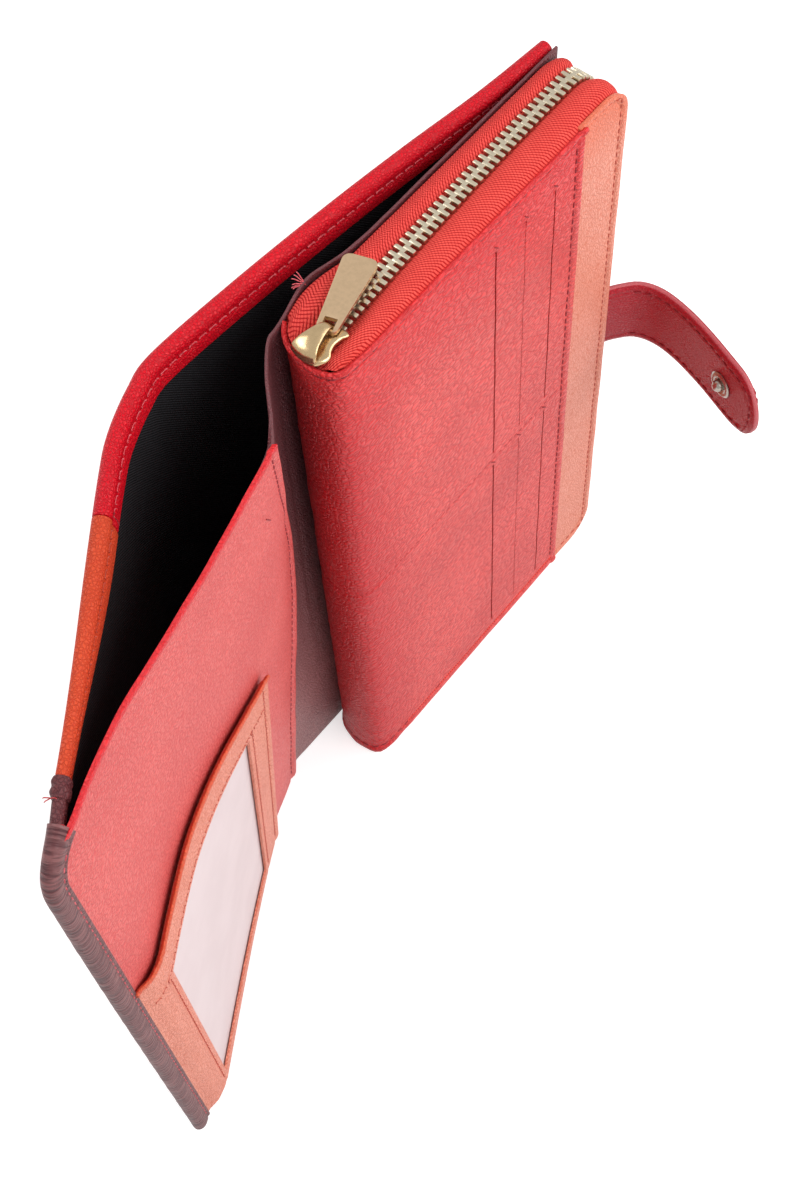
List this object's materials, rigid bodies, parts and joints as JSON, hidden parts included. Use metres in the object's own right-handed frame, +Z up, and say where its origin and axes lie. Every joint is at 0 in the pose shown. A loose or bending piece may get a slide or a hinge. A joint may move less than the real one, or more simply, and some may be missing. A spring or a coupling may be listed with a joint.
{
  "type": "travel wallet",
  "caption": "Long leather travel wallet standing open: a zip compartment with card slits, a fold-round cover with a bill pocket and an ID window, and a snap strap.",
  "frame": {"origin": "middle of the bounding box's bottom, on the floor that the open wallet stands on", "axes": "+Z up along the wallet's long side, -Y out of the zip compartment's front face, +X towards the zip compartment's open edge"},
  "size_m": [0.2282, 0.0838, 0.1951],
  "materials": {
    "back_outer_leather": "fine pebble grain, satin",
    "back_board": "grey card",
    "back_lining": "black twill",
    "liner_back_panel": "thin smooth leather, satin",
    "case_spine_wrap": "fine pebble grain, creased",
    "compartment_lining_rear": "black twill",
    "zip_tape_rear": "herringbone tape",
    "zip_chain_rear": "polished pale gold",
    "spine_outer_leather": "fine pebble grain, satin",
    "spine_lining": "black twill",
    "spine_liner": "thin smooth leather, satin",
    "cover_orange_leather": "fine pebble grain, satin",
    "cover_aubergine_leather": "fine pebble grain, satin",
    "cover_board": "grey card",
    "cover_lining": "black twill",
    "free_edge_binding": "creased, satin",
    "pocket_panel": "fine pebble grain, satin",
    "id_pocket_frame": "fine pebble grain, satin",
    "id_window": "milky clear film",
    "snap_socket": "nickel",
    "leaf_red_panel": "fine pebble grain, satin",
    "leaf_orange_strip": "fine pebble grain, satin",
    "card_pocket_lower": "plain weave",
    "card_pocket_upper": "plain weave",
    "compartment_lining_front": "black twill",
    "zip_tape_front": "herringbone tape",
    "zip_chain_front": "polished pale gold",
    "strap_anchor": "fine pebble grain, satin",
    "strap_root_bend": "fine pebble grain, satin",
    "strap_root_outer": "fine pebble grain, satin",
    "strap_root_inner": "fine pebble grain, satin",
    "strap_middle_bend": "fine pebble grain, satin",
    "strap_tip_outer": "fine pebble grain, satin",
    "strap_tip_inner": "fine pebble grain, satin",
    "snap_stud": "nickel",
    "snap_cap": "nickel",
    "slider_body": "polished pale gold",
    "puller": "polished pale gold"
  },
  "bodies": {
    "case_and_back": {"back_outer_leather": "back_outer_leather", "back_board": "back_board", "back_lining": "back_lining", "liner_back_panel": "liner_back_panel", "case_spine_wrap": "case_spine_wrap", "compartment_lining_rear": "compartment_lining_rear", "zip_tape_rear": "zip_tape_rear", "zip_chain_rear": "zip_chain_rear", "spine_outer_leather": "spine_outer_leather", "spine_lining": "spine_lining", "spine_liner": "spine_liner"},
    "front_cover": {"cover_orange_leather": "cover_orange_leather", "cover_aubergine_leather": "cover_aubergine_leather", "cover_board": "cover_board", "cover_lining": "cover_lining", "free_edge_binding": "free_edge_binding", "pocket_panel": "pocket_panel", "id_pocket_frame": "id_pocket_frame", "id_window": "id_window", "snap_socket": "snap_socket"},
    "case_leaf": {"leaf_red_panel": "leaf_red_panel", "leaf_orange_strip": "leaf_orange_strip", "card_pocket_lower": "card_pocket_lower", "card_pocket_upper": "card_pocket_upper", "compartment_lining_front": "compartment_lining_front", "zip_tape_front": "zip_tape_front", "zip_chain_front": "zip_chain_front", "strap_anchor": "strap_anchor", "strap_root_bend": "strap_root_bend"},
    "slider": {"slider_body": "slider_body"},
    "puller": {"puller": "puller"},
    "strap_root": {"strap_root_outer": "strap_root_outer", "strap_root_inner": "strap_root_inner", "strap_middle_bend": "strap_middle_bend"},
    "strap_tip": {"strap_tip_outer": "strap_tip_outer", "strap_tip_inner": "strap_tip_inner", "snap_stud": "snap_stud", "snap_cap": "snap_cap"}
  },
  "joints": [
    {"name": "cover_fold", "type": "hinge", "parent": "case_and_back", "child": "front_cover", "pos_m": [-0.00832, 0.01535, 0.00008], "axis": [0, 0, 1], "range_deg": [-29, 152], "deforming": ["spine_outer_leather", "spine_lining", "spine_liner", "pocket_panel", "id_pocket_frame", "id_window"]},
    {"name": "case_open", "type": "hinge", "parent": "case_and_back", "child": "case_leaf", "pos_m": [0.00327, 0.00679, 0.00008], "axis": [0, 0, 1], "range_deg": [-60, 0]},
    {"name": "slider_slide", "type": "slide", "parent": "case_and_back", "child": "slider", "axis": [0.9996, 0.0294, 0], "range_m": [0, 0.075]},
    {"name": "puller_swing", "type": "hinge", "parent": "slider", "child": "puller", "pos_m": [0.00806, 0.01402, 0.19313], "axis": [0.2706, -0.9627, 0], "range_deg": [0, 120]},
    {"name": "strap_lift", "type": "hinge", "parent": "case_leaf", "child": "strap_root", "pos_m": [0.10403, 0.00952, 0.10008], "axis": [0, 0, -1], "range_deg": [-35, 40]},
    {"name": "strap_bend", "type": "hinge", "parent": "strap_root", "child": "strap_tip", "pos_m": [0.11218, 0.0018, 0.10008], "axis": [0, 0, -1], "range_deg": [-40, 24]}
  ]
}
